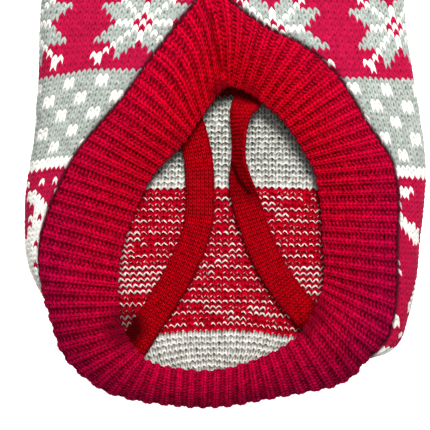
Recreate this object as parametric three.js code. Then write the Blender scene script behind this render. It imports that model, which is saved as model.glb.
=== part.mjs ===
// A small dog's knitted winter sweater, laid flat on its back with the belly side up.
// X runs across the garment, Y from the hem towards the neck, Z up from the surface it lies on.
// Two knitted panels form a flattened tube. A wide ribbed band edges the large opening for the
// belly, hind legs and tail, two straps cross that opening, and ribbed cuffs and a ribbed collar
// finish the front. Every piece is a wall of cloth. All sizes are in millimetres.
import * as THREE from "three";

// Cloth
const PANEL_THICKNESS = 2.6;
const RIB_THICKNESS = 3.4;
const RIB_DEPTH = 1.3;
const SEAM_GAP = 0.3;
const CURVED_SEAM_GAP = 0.7;

// Body tube: the rounded side folds, and the rise of the belly above them
const FOLD_DEPTH = 9;
const FOLD_HEIGHT = 7;

// Armholes and cuffs
const CUFF_REACH = 113;
const CUFF_UP = 255;
const CUFF_HALF = 24;
const CUFF_HALF_HEIGHT = 6.5;
const CUFF_RIBS = 20;

// Neck and collar
const NECK_BACK_UP = 316;
const NECK_SIDE_UP = 309;
const NECK_BELLY_UP = 300;
const COLLAR_TOP_UP = 372;
const COLLAR_HALF_WIDTH = 53;
const COLLAR_HALF_HEIGHT = 6.5;
const COLLAR_RIBS = 38;

// Rear band
const BAND_RIBS = 80;
const HEM_TUCK = 8.5;
const EDGE_HEIGHT_TAIL = 9;
const EDGE_HEIGHT_BELLY = 13.5;
const BAND_RISE = 14;

// Leg straps
const STRAP_WIDTH = 15.5;
const STRAP_THICKNESS = 2.2;

const RED = 0xb3001e;
const GREY = 0xa9b0aa;

const DEGREE = Math.PI / 180;

function table(columns, rows) {
  return rows.map((row) => Object.fromEntries(columns.map((name, i) => [name, row[i]])));
}

// The body's half widths and the height of the belly's crown, by the distance up from the hem
const BODY = table(
  ["up", "left", "right", "crown"],
  [
    [0, 54, 48, 7],
    [8, 64, 57, 7],
    [25, 78.5, 71.8, 7],
    [29, 81, 82, 7],
    [36, 84.5, 88, 7],
    [46, 88.5, 91, 7],
    [56.5, 91.3, 93.7, 7],
    [71, 97.5, 96, 7],
    [84, 99.5, 97, 7],
    [99, 99.8, 98.7, 7],
    [117, 98, 100, 7],
    [132, 95.4, 99, 7],
    [150, 94, 96.5, 7],
    [168, 92.6, 93.5, 7],
    [188, 92.2, 90.5, 7],
    [205, 91.3, 89, 7],
    [228, 87.5, 87.5, 6.5],
    [258, 82, 82, 5.5],
    [280, 79, 79, 5],
    [294, 71, 71, 4.5],
    [303, 61, 61, 4],
    [309, 56, 56, 4],
    [320, 54, 54, 4],
  ],
);

// The armhole: how much of the half section it cuts away, by the distance up from the hem
const ARMHOLE = table(
  ["up", "cut"],
  [
    [231, 0],
    [236, 0.08],
    [246, 0.14],
    [258, 0.16],
    [270, 0.14],
    [280, 0.08],
    [285, 0],
  ],
);

// The rear band, in steps round the opening from the middle of the belly down the left side.
// The rim is the band's outer edge and the edge its free inner one, both as seen from above.
// The turn is how far the rim has gone round the side fold: 0 on top, 180 beneath the hem.
const BAND = table(
  ["rimX", "rimUp", "edgeX", "edgeUp", "turn"],
  [
    [-8.5, 209, 0.5, 160.5, 0],
    [-15, 202, -3, 157.5, 0],
    [-24, 191, -8, 151, 0],
    [-38, 173, -14.5, 142, 0],
    [-51, 155, -21, 132.5, 0],
    [-64.5, 139.5, -33, 120.5, 0],
    [-75, 126, -39.5, 111, 0],
    [-84, 108, -46.5, 96, 0],
    [-90.3, 91.5, -51.5, 80, 0],
    [-93, 74.5, -53.2, 67, 26],
    [-91.3, 56.5, -53.2, 55.5, 90],
    [-87.5, 38.7, -51.8, 44.5, 135],
    [-81.6, 24.1, -48.5, 36.5, 160],
    [-65.8, 9.2, -43.5, 29.5, 180],
    [-48, 3.6, -37.5, 24.5, 180],
    [-30.2, 1.7, -28, 21.3, 180],
    [-14.5, 0.3, -13.5, 19.8, 180],
    [0, 0.3, 0.5, 21, 180],
    [14, 2.5, 11.5, 24, 180],
    [27.3, 4.6, 20.5, 27.5, 180],
    [40.8, 6.2, 29, 32, 180],
    [55.4, 9, 36.5, 38, 170],
    [65.6, 15.4, 41.5, 45, 145],
    [71.8, 25, 45, 51.5, 90],
    [80.5, 35.5, 47.5, 57, 30],
    [84.3, 49, 49.3, 63, 5],
    [85.5, 66, 49.7, 71.5, 0],
    [85.3, 82, 49, 84.5, 0],
    [86, 102, 48, 102, 0],
    [83.5, 121.5, 44.8, 118, 0],
    [77.5, 132.5, 41.8, 124, 0],
    [70.5, 142.8, 38.5, 130, 0],
    [63.5, 154.5, 34, 137.3, 0],
    [55.5, 166.5, 28, 145, 0],
    [43.5, 177.5, 21.5, 150.5, 0],
    [33.5, 183.7, 16, 155, 0],
    [22.5, 188.5, 11.5, 157.8, 0],
    [12.5, 195, 5, 160.3, 0],
  ],
);
const LEFT_CORNER = BAND.findIndex((row) => row.turn === 90);
const RIGHT_CORNER = BAND.findLastIndex((row) => row.turn === 90);

// The straps' centre lines from under the belly to under the side of the band.
// The roll turns a strap on edge about its own line, in degrees.
const STRAP_COLUMNS = ["x", "up", "height", "roll"];
const LEFT_STRAP = table(STRAP_COLUMNS, [
  [-26, 166, 12.4, 0],
  [-21.5, 153, 9.2, 0],
  [-16.5, 139, 5.6, 0],
  [-13.2, 124, 4.4, 0],
  [-12.4, 108, 4.2, 0],
  [-13.2, 93, 4.2, 0],
  [-17.5, 79.5, 4.2, 0],
  [-24.5, 65, 4.2, 0],
  [-32.5, 52, 4.2, 0],
  [-39.8, 40.5, 4.2, 0],
  [-46.5, 30, 4.2, 0],
]);
const RIGHT_STRAP = table(STRAP_COLUMNS, [
  [22, 174, 9.6, 0],
  [17.5, 163, 8, 0],
  [11.5, 154.5, 6.2, 10],
  [7.6, 145, 9.6, 50],
  [6.9, 133, 10.8, 66],
  [6.8, 123, 10.6, 62],
  [8.2, 112, 8.6, 35],
  [11, 102, 5.4, 8],
  [14.4, 91, 4.2, 0],
  [18.8, 79.5, 4.2, 0],
  [25, 67.5, 4.2, 0],
  [32.4, 56.8, 4.2, 0],
  [40, 48, 4.2, 0],
  [47.5, 39, 4.2, 0],
]);

const mix = (a, b, share) => a + (b - a) * share;
const clamp = (value) => Math.min(1, Math.max(0, value));
const ease = (value) => clamp(value) ** 2 * (3 - 2 * clamp(value));

// A column of an open table at a distance up from the hem, on a smooth curve with no overshoot.
function columnAt(rows, name, up) {
  const last = rows.length - 2;
  const i = Math.min(last, Math.max(0, rows.findLastIndex((row) => row.up <= up)));
  const secant = (k) => {
    const at = Math.min(last, Math.max(0, k));
    return (rows[at + 1][name] - rows[at][name]) / (rows[at + 1].up - rows[at].up);
  };
  const slope = (before, after) => (before * after > 0 ? (2 * before * after) / (before + after) : 0);
  const span = rows[i + 1].up - rows[i].up;
  const f = clamp((up - rows[i].up) / span);
  const startSlope = slope(secant(i - 1), secant(i)) * span;
  const endSlope = slope(secant(i), secant(i + 1)) * span;
  return (
    rows[i][name] * (1 + 2 * f) * (1 - f) ** 2 +
    startSlope * f * (1 - f) ** 2 +
    rows[i + 1][name] * f * f * (3 - 2 * f) +
    endSlope * f * f * (f - 1)
  );
}

// A row of a table at a place between its rows, on a Catmull-Rom curve.
function rowAt(rows, place, closed) {
  const i = Math.floor(place);
  const f = place - i;
  const count = rows.length;
  const row = (k) => rows[closed ? ((k % count) + count) % count : Math.min(count - 1, Math.max(0, k))];
  const [a, b, c, d] = [row(i - 1), row(i), row(i + 1), row(i + 2)];
  const smooth = (name) => {
    const first = c[name] - a[name];
    const second = 2 * a[name] - 5 * b[name] + 4 * c[name] - d[name];
    const third = 3 * (b[name] - c[name]) + d[name] - a[name];
    return b[name] + 0.5 * f * (first + f * (second + f * third));
  };
  return Object.fromEntries(Object.keys(b).map((name) => [name, smooth(name)]));
}

// The lengths of the flat part of a half section and of its quarter fold.
function halfSection(side, up) {
  const width = columnAt(BODY, side < 0 ? "left" : "right", up);
  const flat = width - FOLD_DEPTH;
  const fold = (Math.PI / 2) * Math.sqrt((FOLD_DEPTH ** 2 + FOLD_HEIGHT ** 2) / 2);
  return { flat, fold, path: flat + fold };
}

// A point of the body's outer surface. Across runs from -1 at the left side to 1 at the right.
function bodyPoint(face, across, up) {
  const side = across < 0 ? -1 : 1;
  const { flat, fold, path } = halfSection(side, up);
  const along = Math.abs(across) * path;
  const angle = (Math.max(0, along - flat) / fold) * (Math.PI / 2);
  const x = Math.min(along, flat) + FOLD_DEPTH * Math.sin(angle);
  const lift = face === "belly" ? 1 : -1;
  const crown = columnAt(BODY, "crown", up) * Math.cos((Math.PI / 2) * Math.min(1, along / flat)) ** 2;
  const z = FOLD_HEIGHT * (1 + lift * Math.cos(angle)) + (lift > 0 ? crown : 0);
  return new THREE.Vector3(side * x, up, z);
}

function bodyNormal(face, across, up) {
  const step = 0.5;
  const turn = step / 100;
  const over = bodyPoint(face, across + turn, up).sub(bodyPoint(face, across - turn, up));
  const along = bodyPoint(face, across, up + step).sub(bodyPoint(face, across, up - step));
  const normal = over.cross(along).normalize();
  return face === "belly" ? normal : normal.negate();
}

// Which share of the half section lies at a distance x from the middle.
function acrossOf(x, up) {
  const side = x < 0 ? -1 : 1;
  const { flat, fold, path } = halfSection(side, up);
  const over = Math.min(1, Math.max(0, (Math.abs(x) - flat) / FOLD_DEPTH));
  return (side * (Math.min(Math.abs(x), flat) + (Math.asin(over) / (Math.PI / 2)) * fold)) / path;
}

// The frame of the band at a place round the opening: its rim, edge and outward direction.
function bandFrame(place) {
  const row = rowAt(BAND, place, true);
  const turn = Math.min(180, Math.max(0, row.turn)) * DEGREE;
  const edge = new THREE.Vector3(row.edgeX, row.edgeUp, 0);
  const rim = new THREE.Vector3(row.rimX, row.rimUp, 0);
  const out = rim.clone().sub(edge).normalize();
  const tuck = HEM_TUCK * clamp((turn / DEGREE - 90) / 90);
  const seam = rim.addScaledVector(out, -tuck);
  const onTop = bodyPoint("belly", acrossOf(seam.x, seam.y), seam.y).z - 2 * FOLD_HEIGHT;
  seam.z = FOLD_HEIGHT * (1 + Math.cos(turn)) + Math.max(0, onTop) * Math.max(0, Math.cos(turn));
  edge.z = mix(EDGE_HEIGHT_TAIL, EDGE_HEIGHT_BELLY, ease((row.edgeUp - 100) / 50));
  return { turn, seam, edge, out };
}

// A direction in the upright plane through the band: outwards by one share and up by another.
function lean(out, outwards, upwards) {
  return out.clone().multiplyScalar(outwards).setZ(upwards);
}

// The band's profile from its seam to its free edge is a Bezier curve.
function bandProfile(place) {
  const { turn, seam, edge, out } = bandFrame(place);
  const start = Math.max(BAND_RISE * DEGREE, turn);
  const wrapped = ease(turn / DEGREE / 180);
  const reach = seam.clone().sub(edge).setZ(0).length();
  const startPull = mix(0.36 * reach, 19, wrapped);
  const endPull = mix(0.42 * reach, 16, wrapped);
  const endLean = mix(24, 40, wrapped) * DEGREE;
  const curve = new THREE.CubicBezierCurve3(
    seam,
    seam.clone().add(lean(out, -Math.cos(start), Math.sin(start)).multiplyScalar(startPull)),
    edge.clone().add(lean(out, Math.cos(endLean), Math.sin(endLean)).multiplyScalar(endPull)),
    edge,
  );
  const seamNormal = lean(out, Math.sin(turn), Math.cos(turn));
  const normalAt = (f) => {
    if (f === 0) return seamNormal;
    const tangent = curve.getTangent(f);
    const outwards = tangent.x * out.x + tangent.y * out.y;
    return lean(out, tangent.z, -outwards).normalize();
  };
  return { curve, normalAt };
}

// A closed wall from outer and inner points and the quads between them.
// Every edge that only one quad has gets a strip that joins the two faces.
function wall(name, points, quads, colour) {
  const positions = points.flatMap(({ outer }) => outer.toArray());
  points.forEach(({ inner }) => positions.push(...inner.toArray()));
  const under = points.length;
  const edges = new Map();
  const index = [];
  for (const quad of quads) {
    const [a, b, c, d] = quad;
    index.push(a, b, c, a, c, d);
    index.push(a + under, c + under, b + under, a + under, d + under, c + under);
    quad.forEach((from, i) => edges.set(`${from},${quad[(i + 1) % 4]}`, [from, quad[(i + 1) % 4]]));
  }
  for (const [from, to] of edges.values()) {
    if (edges.has(`${to},${from}`)) continue;
    index.push(from, from + under, to + under, from, to + under, to);
  }
  const geometry = new THREE.BufferGeometry();
  geometry.setAttribute("position", new THREE.Float32BufferAttribute(positions, 3));
  geometry.setIndex(index);
  geometry.computeVertexNormals();
  const material = new THREE.MeshStandardMaterial({ color: colour, roughness: 0.95, metalness: 0 });
  const mesh = new THREE.Mesh(geometry, material);
  mesh.name = name;
  return mesh;
}

// The quads of a grid of points stored row by row. A closed grid joins its last column to its first.
function gridQuads(rows, columns, closed) {
  const quads = [];
  const spans = closed ? columns : columns - 1;
  for (let r = 0; r < rows - 1; r++) {
    for (let c = 0; c < spans; c++) {
      const next = (c + 1) % columns;
      quads.push([r * columns + c, r * columns + next, (r + 1) * columns + next, (r + 1) * columns + c]);
    }
  }
  return quads;
}

const offset = (point, normal, distance) => point.clone().addScaledVector(normal, distance);

function panelWallPoint(point, normal) {
  return { outer: point, inner: offset(point, normal, -PANEL_THICKNESS) };
}

// How far across a panel reaches: to the side seam, or to the armhole where that is cut in.
function sideLimit(up) {
  const { path } = halfSection(1, up);
  const inside = up > ARMHOLE[0].up && up < ARMHOLE.at(-1).up;
  return 1 - SEAM_GAP / 2 / path - (inside ? columnAt(ARMHOLE, "cut", up) : 0);
}

function neckUp(face, across) {
  const middle = face === "belly" ? NECK_BELLY_UP : NECK_BACK_UP;
  return mix(middle, NECK_SIDE_UP, across ** 2);
}

// The seam's own point and normal, drawn back from the band by the seam's gap.
function panelSeamPoint(place) {
  const { turn, seam, out } = bandFrame(place);
  const towardsBand = lean(out, -Math.cos(turn), Math.sin(turn));
  const start = offset(seam, towardsBand, -CURVED_SEAM_GAP);
  return panelWallPoint(start, lean(out, Math.sin(turn), Math.cos(turn)));
}

// The shares of the way in from the side seam, closer together on the fold.
function insetShare(share, length) {
  return share ** mix(1, 1.7, clamp((length - 30) / 60));
}

// Rows of the upper body, through every row of the armhole.
function upperRows(from) {
  return [from, 221, ...ARMHOLE.map((row) => row.up), 293];
}

// The belly panel: one strip up each side of the opening, joined above it up to the neck.
function bellyPanel() {
  const sideRows = 24;
  const halfColumns = 8;
  const leftStart = LEFT_CORNER - 0.35;
  const rightStart = RIGHT_CORNER + 0.3;
  const apex = bandFrame(0).seam;
  const points = [];
  const quads = [];
  const add = (point) => points.push(point) - 1;
  const onBody = (across, up) => {
    return panelWallPoint(bodyPoint("belly", across, up), bodyNormal("belly", across, up));
  };

  // One row of a side strip, from the side seam to the band's seam.
  const stripRow = (place, side) => {
    const seamPoint = panelSeamPoint(place);
    const { x, y: up } = seamPoint.outer;
    const seamAcross = acrossOf(x, up);
    const shift = seamPoint.outer.clone().sub(bodyPoint("belly", seamAcross, up));
    const length = Math.abs(side - seamAcross) * halfSection(side, up).path;
    return Array.from({ length: halfColumns + 1 }, (_, c) => {
      if (c === halfColumns) return add(seamPoint);
      const share = insetShare(c / halfColumns, length);
      const across = mix(side * sideLimit(up), seamAcross, share);
      const point = onBody(across, up);
      const moved = shift.clone().multiplyScalar(share);
      return add({ outer: point.outer.add(moved), inner: point.inner.add(moved) });
    });
  };

  const left = [];
  const right = [];
  for (let r = 0; r < sideRows; r++) {
    const share = 1 - (1 - r / sideRows) ** 1.3;
    left.push(stripRow(mix(leftStart, 0, share), -1));
    right.push(stripRow(mix(rightStart, BAND.length, share), 1));
  }
  const middle = apex.x / halfSection(-1, apex.y).path;
  const rows = upperRows(apex.y + 1);
  for (let r = 0; r <= rows.length; r++) {
    const upperRow = (side) =>
      Array.from({ length: halfColumns + 1 }, (_, c) => {
        const inset = insetShare(c / halfColumns, 90);
        const atApex = r === 0 && c === halfColumns;
        const up = r === rows.length ? neckUp("belly", 1 - inset) - SEAM_GAP : rows[r] + (atApex ? 0.2 : 0);
        const centre = middle * (1 - r / rows.length);
        return onBody(mix(side * sideLimit(up), centre, inset), up);
      });
    const leftRow = upperRow(-1).map(add);
    const rightRow = upperRow(1).slice(0, -1).map(add);
    left.push(leftRow);
    right.push([...rightRow, leftRow[halfColumns]]);
  }
  for (const [side, flipped] of [[left, false], [right, true]]) {
    for (let r = 0; r < side.length - 1; r++) {
      for (let c = 0; c < halfColumns; c++) {
        const quad = [side[r][c], side[r][c + 1], side[r + 1][c + 1], side[r + 1][c]];
        quads.push(flipped ? quad.reverse() : quad);
      }
    }
  }
  return wall("belly_panel", points, quads, GREY);
}

// The back panel: columns of points from the seam beneath the hem up to the neck.
function backPanel() {
  const lowerRows = 9;
  const halfColumns = 15;
  const rows = upperRows(210);
  const points = [];
  for (let r = 0; r <= lowerRows + rows.length; r++) {
    for (let c = -halfColumns; c <= halfColumns; c++) {
      const place = mix(LEFT_CORNER, RIGHT_CORNER, (c / halfColumns + 1) / 2);
      const seamPoint = panelSeamPoint(place);
      if (r === 0) {
        points.push(seamPoint);
        continue;
      }
      const { x, y: seamUp } = seamPoint.outer;
      const seamAcross = acrossOf(x, seamUp);
      const column = Math.sign(c) * (1 - insetShare(1 - Math.abs(c / halfColumns), 90));
      const lowShare = r / lowerRows;
      const upper = r - lowerRows;
      const upAbove = upper === rows.length ? neckUp("back", column) - SEAM_GAP : rows[upper];
      const up = upper < 0 ? mix(seamUp, rows[0], lowShare) : upAbove;
      const across = mix(seamAcross, column * sideLimit(up), ease(lowShare * 1.4));
      const fade = Math.max(0, 1 - lowShare * 5);
      const shift = seamPoint.outer.clone().sub(bodyPoint("back", seamAcross, seamUp)).multiplyScalar(fade);
      const point = panelWallPoint(bodyPoint("back", across, up), bodyNormal("back", across, up));
      points.push({ outer: point.outer.add(shift), inner: point.inner.add(shift) });
    }
  }
  const quads = gridQuads(lowerRows + rows.length + 1, 2 * halfColumns + 1, false);
  return wall("back_panel", points, quads.map((quad) => quad.reverse()), GREY);
}

// Places round the band that lie equal distances apart along the middle of its width.
function evenPlaces(count) {
  const steps = BAND.length * 20;
  const lengths = [0];
  const middle = (i) => {
    const { seam, edge } = bandFrame((i / steps) * BAND.length);
    return seam.add(edge).multiplyScalar(0.5);
  };
  for (let i = 1; i <= steps; i++) lengths.push(lengths[i - 1] + middle(i).distanceTo(middle(i - 1)));
  return Array.from({ length: count }, (_, k) => {
    const wanted = (k / count) * lengths[steps];
    const i = lengths.findLastIndex((length) => length <= wanted);
    const share = (wanted - lengths[i]) / (lengths[i + 1] - lengths[i]);
    return ((i + share) / steps) * BAND.length;
  });
}

// The band round the rear opening. Its ribs run from the seam to the free edge.
function rearBand() {
  const pointsPerRib = 3;
  const profileSteps = [0, 0.16, 0.34, 0.54, 0.76, 1];
  const places = evenPlaces(BAND_RIBS * pointsPerRib);
  const profiles = places.map(bandProfile);
  const points = [];
  for (const f of profileSteps) {
    profiles.forEach(({ curve, normalAt }, k) => {
      const normal = normalAt(f);
      const surface = curve.getPoint(f);
      const sunk = k % pointsPerRib === 0 ? RIB_DEPTH : 0;
      points.push({
        outer: offset(surface, normal, -sunk),
        inner: offset(surface, normal, -RIB_THICKNESS),
      });
    });
  }
  return wall("rear_band", points, gridQuads(profileSteps.length, places.length, true), RED);
}

// A flattened ribbed tube from one ring of points to another.
function ribbedTube(name, ribs, steps, startAt, endAt, colour, flipped) {
  const pointsPerRib = 3;
  const columns = ribs * pointsPerRib;
  const surface = (c, share) => {
    const angle = ((c % columns) / columns) * 2 * Math.PI;
    return startAt(angle).lerp(endAt(angle), share);
  };
  const points = [];
  for (let r = 0; r <= steps; r++) {
    for (let c = 0; c < columns; c++) {
      const share = r / steps;
      const point = surface(c, share);
      const round = surface(c + 1, share).sub(surface(c + columns - 1, share));
      const normal = round.cross(surface(c, 1).sub(surface(c, 0))).normalize();
      if (flipped) normal.negate();
      const sunk = c % pointsPerRib === 0 ? RIB_DEPTH : 0;
      points.push({ outer: offset(point, normal, -sunk), inner: offset(point, normal, -RIB_THICKNESS) });
    }
  }
  const quads = gridQuads(steps + 1, columns, true);
  return wall(name, points, flipped ? quads.map((quad) => quad.reverse()) : quads, colour);
}

// A point of a flattened ring: a flat oval that is squarer than an ellipse.
function ovalPoint(angle, halfWidth, halfHeight) {
  const square = (value) => Math.sign(value) * Math.abs(value) ** 0.7;
  return [halfWidth * Math.sin(angle), halfHeight * square(-Math.cos(angle))];
}

function collar() {
  const startAt = (angle) => {
    const across = Math.sin(angle);
    const share = Math.asin(Math.abs(across)) / (Math.PI / 2);
    const face = Math.cos(angle) > 0 ? "back" : "belly";
    const signed = Math.sign(across) * share;
    return bodyPoint(face, signed, neckUp(face, signed) + SEAM_GAP / 2);
  };
  const endAt = (angle) => {
    const share = Math.asin(Math.abs(Math.sin(angle))) / (Math.PI / 2);
    const flat = COLLAR_HALF_WIDTH - COLLAR_HALF_HEIGHT;
    const fold = COLLAR_HALF_HEIGHT * (Math.PI / 2);
    const along = share * (flat + fold);
    const bend = (Math.max(0, along - flat) / fold) * (Math.PI / 2);
    const x = Math.min(along, flat) + COLLAR_HALF_HEIGHT * Math.sin(bend);
    const z = COLLAR_HALF_HEIGHT * (1 - Math.sign(Math.cos(angle)) * Math.cos(bend));
    return new THREE.Vector3(Math.sign(Math.sin(angle)) * x, COLLAR_TOP_UP, z);
  };
  return ribbedTube("collar", COLLAR_RIBS, 3, startAt, endAt, RED, true);
}

// A cuff, from the armhole's edge out to the side. The angle runs from the neck end over the belly.
function cuff(name, side) {
  const startAt = (angle) => {
    const face = Math.sin(angle) > 0 ? "belly" : "back";
    const [low, high] = [ARMHOLE[0].up, ARMHOLE.at(-1).up];
    const up = mix(low, high, 0.5 + 0.5 * Math.cos(angle));
    const i = Math.max(0, Math.min(ARMHOLE.length - 2, ARMHOLE.findLastIndex((row) => row.up <= up)));
    const edge = (row) => bodyPoint(face, side * (1 - row.cut), row.up);
    const share = (up - ARMHOLE[i].up) / (ARMHOLE[i + 1].up - ARMHOLE[i].up);
    const point = edge(ARMHOLE[i]).lerp(edge(ARMHOLE[i + 1]), share);
    return point.add(new THREE.Vector3(side * CURVED_SEAM_GAP, 0, 0));
  };
  const endAt = (angle) => {
    const [up, z] = ovalPoint(angle + Math.PI / 2, CUFF_HALF, CUFF_HALF_HEIGHT);
    return new THREE.Vector3(side * CUFF_REACH, CUFF_UP + up, CUFF_HALF_HEIGHT + z);
  };
  return ribbedTube(name, CUFF_RIBS, 2, startAt, endAt, RED, side < 0);
}

// A flat strap along its centre line, rolled about that line where the table says so.
function strap(name, rows) {
  const stepsPerRow = 2;
  const columns = 3;
  const count = (rows.length - 1) * stepsPerRow + 1;
  const at = (i) => {
    const { x, up, height, roll } = rowAt(rows, i / stepsPerRow, false);
    return { centre: new THREE.Vector3(x, up, height), roll: roll * DEGREE };
  };
  const points = [];
  for (let i = 0; i < count; i++) {
    const { centre, roll } = at(i);
    const line = at(Math.min(count - 1, i + 1)).centre.sub(at(Math.max(0, i - 1)).centre).normalize();
    const level = new THREE.Vector3(line.y, -line.x, 0).normalize();
    const over = level.applyAxisAngle(line, roll);
    const normal = over.clone().cross(line).normalize();
    for (let c = 0; c < columns; c++) {
      const point = offset(centre, over, STRAP_WIDTH * (c / (columns - 1) - 0.5));
      points.push({
        outer: offset(point, normal, STRAP_THICKNESS / 2),
        inner: offset(point, normal, -STRAP_THICKNESS / 2),
      });
    }
  }
  return wall(name, points, gridQuads(count, columns, false), RED);
}

const sweater = new THREE.Group();
sweater.name = "dog_sweater";
sweater.add(
  backPanel(),
  bellyPanel(),
  rearBand(),
  strap("leg_strap_left", LEFT_STRAP),
  strap("leg_strap_right", RIGHT_STRAP),
  collar(),
  cuff("cuff_left", -1),
  cuff("cuff_right", 1),
);

// The origin is the middle of the garment's outline, on the surface it lies on.
const outline = new THREE.Box3().setFromObject(sweater);
const middle = outline.getCenter(new THREE.Vector3());
sweater.position.set(-middle.x, -middle.y, -outline.min.z);

export default sweater;
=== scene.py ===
"""A small dog's knitted winter sweater, laid flat on its back, with every stitch modelled.

Lengths are millimetres until a mesh is made. X runs across the garment, and "up" runs from the hem
towards the neck. Three yarns make it: red, white and grey.
"""

import math

import bpy
import numpy as np
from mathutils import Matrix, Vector

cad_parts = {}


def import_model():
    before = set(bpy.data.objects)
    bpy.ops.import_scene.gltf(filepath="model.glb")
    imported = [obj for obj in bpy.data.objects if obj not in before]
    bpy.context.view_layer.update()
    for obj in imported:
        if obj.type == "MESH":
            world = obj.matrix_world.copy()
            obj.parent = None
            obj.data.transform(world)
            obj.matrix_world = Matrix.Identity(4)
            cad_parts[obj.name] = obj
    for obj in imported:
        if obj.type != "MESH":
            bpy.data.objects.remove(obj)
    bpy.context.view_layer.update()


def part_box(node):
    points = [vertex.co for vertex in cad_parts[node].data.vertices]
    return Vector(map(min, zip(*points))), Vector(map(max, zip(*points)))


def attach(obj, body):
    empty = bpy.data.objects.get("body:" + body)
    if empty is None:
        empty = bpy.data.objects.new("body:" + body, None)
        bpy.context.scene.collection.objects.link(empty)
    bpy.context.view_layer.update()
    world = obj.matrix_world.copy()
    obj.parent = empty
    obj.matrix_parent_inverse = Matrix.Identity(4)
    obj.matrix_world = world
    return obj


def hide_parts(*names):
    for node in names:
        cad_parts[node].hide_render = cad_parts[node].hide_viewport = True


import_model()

MM = 0.001
COLLAR_TOP_UP = 372.0
HEM_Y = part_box("collar")[1][1] / MM - COLLAR_TOP_UP

# Cloth
PANEL_THICKNESS = 2.6
RIB_THICKNESS = 3.4
FOLD_DEPTH = 9.0
FOLD_HEIGHT = 7.0
PANEL_WALES = 64
INSIDE_WALES = 61

# Yarns, as the material slots of every knitted piece
RED, WHITE, GREY, PALE = range(4)
YARN_OF = {"R": RED, "W": WHITE, "G": GREY}


def table(names, rows):
    """A table of named columns."""
    return dict(zip(names, np.array(rows, dtype=float).T))


# The body's half widths and the height of the belly's crown, by the distance up from the hem
BODY = table(
    ("up", "left", "right", "crown"),
    [
        (0, 54, 48, 7),
        (8, 64, 57, 7),
        (25, 78.5, 71.8, 7),
        (29, 81, 82, 7),
        (36, 84.5, 88, 7),
        (46, 88.5, 91, 7),
        (56.5, 91.3, 93.7, 7),
        (71, 97.5, 96, 7),
        (84, 99.5, 97, 7),
        (99, 99.8, 98.7, 7),
        (117, 98, 100, 7),
        (132, 95.4, 99, 7),
        (150, 94, 96.5, 7),
        (168, 92.6, 93.5, 7),
        (188, 92.2, 90.5, 7),
        (205, 91.3, 89, 7),
        (228, 87.5, 87.5, 6.5),
        (258, 82, 82, 5.5),
        (280, 79, 79, 5),
        (294, 71, 71, 4.5),
        (303, 61, 61, 4),
        (309, 56, 56, 4),
        (320, 54, 54, 4),
    ],
)

# How much of the half section the armhole cuts away
ARMHOLE = table(
    ("up", "cut"),
    [(231, 0), (236, 0.08), (246, 0.14), (258, 0.16), (270, 0.14), (280, 0.08), (285, 0)],
)

# The rear band round the opening, from the middle of the belly down the left side: its rim and its
# free edge as seen from above, and how far the rim has turned round the side fold
BAND = table(
    ("rim_x", "rim_up", "edge_x", "edge_up", "turn"),
    [
        (-8.5, 209, 0.5, 160.5, 0),
        (-15, 202, -3, 157.5, 0),
        (-24, 191, -8, 151, 0),
        (-38, 173, -14.5, 142, 0),
        (-51, 155, -21, 132.5, 0),
        (-64.5, 139.5, -33, 120.5, 0),
        (-75, 126, -39.5, 111, 0),
        (-84, 108, -46.5, 96, 0),
        (-90.3, 91.5, -51.5, 80, 0),
        (-93, 74.5, -53.2, 67, 26),
        (-91.3, 56.5, -53.2, 55.5, 90),
        (-87.5, 38.7, -51.8, 44.5, 135),
        (-81.6, 24.1, -48.5, 36.5, 160),
        (-65.8, 9.2, -43.5, 29.5, 180),
        (-48, 3.6, -37.5, 24.5, 180),
        (-30.2, 1.7, -28, 21.3, 180),
        (-14.5, 0.3, -13.5, 19.8, 180),
        (0, 0.3, 0.5, 21, 180),
        (14, 2.5, 11.5, 24, 180),
        (27.3, 4.6, 20.5, 27.5, 180),
        (40.8, 6.2, 29, 32, 180),
        (55.4, 9, 36.5, 38, 170),
        (65.6, 15.4, 41.5, 45, 145),
        (71.8, 25, 45, 51.5, 90),
        (80.5, 35.5, 47.5, 57, 30),
        (84.3, 49, 49.3, 63, 5),
        (85.5, 66, 49.7, 71.5, 0),
        (85.3, 82, 49, 84.5, 0),
        (86, 102, 48, 102, 0),
        (83.5, 121.5, 44.8, 118, 0),
        (77.5, 132.5, 41.8, 124, 0),
        (70.5, 142.8, 38.5, 130, 0),
        (63.5, 154.5, 34, 137.3, 0),
        (55.5, 166.5, 28, 145, 0),
        (43.5, 177.5, 21.5, 150.5, 0),
        (33.5, 183.7, 16, 155, 0),
        (22.5, 188.5, 11.5, 157.8, 0),
        (12.5, 195, 5, 160.3, 0),
    ],
)
BAND_ROWS = len(BAND["turn"])
BAND_RIBS = 80
BAND_COURSES = 20
HEM_TUCK = 8.5
EDGE_HEIGHT_TAIL = 9.0
EDGE_HEIGHT_BELLY = 13.5
BAND_RISE = math.radians(14)

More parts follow.
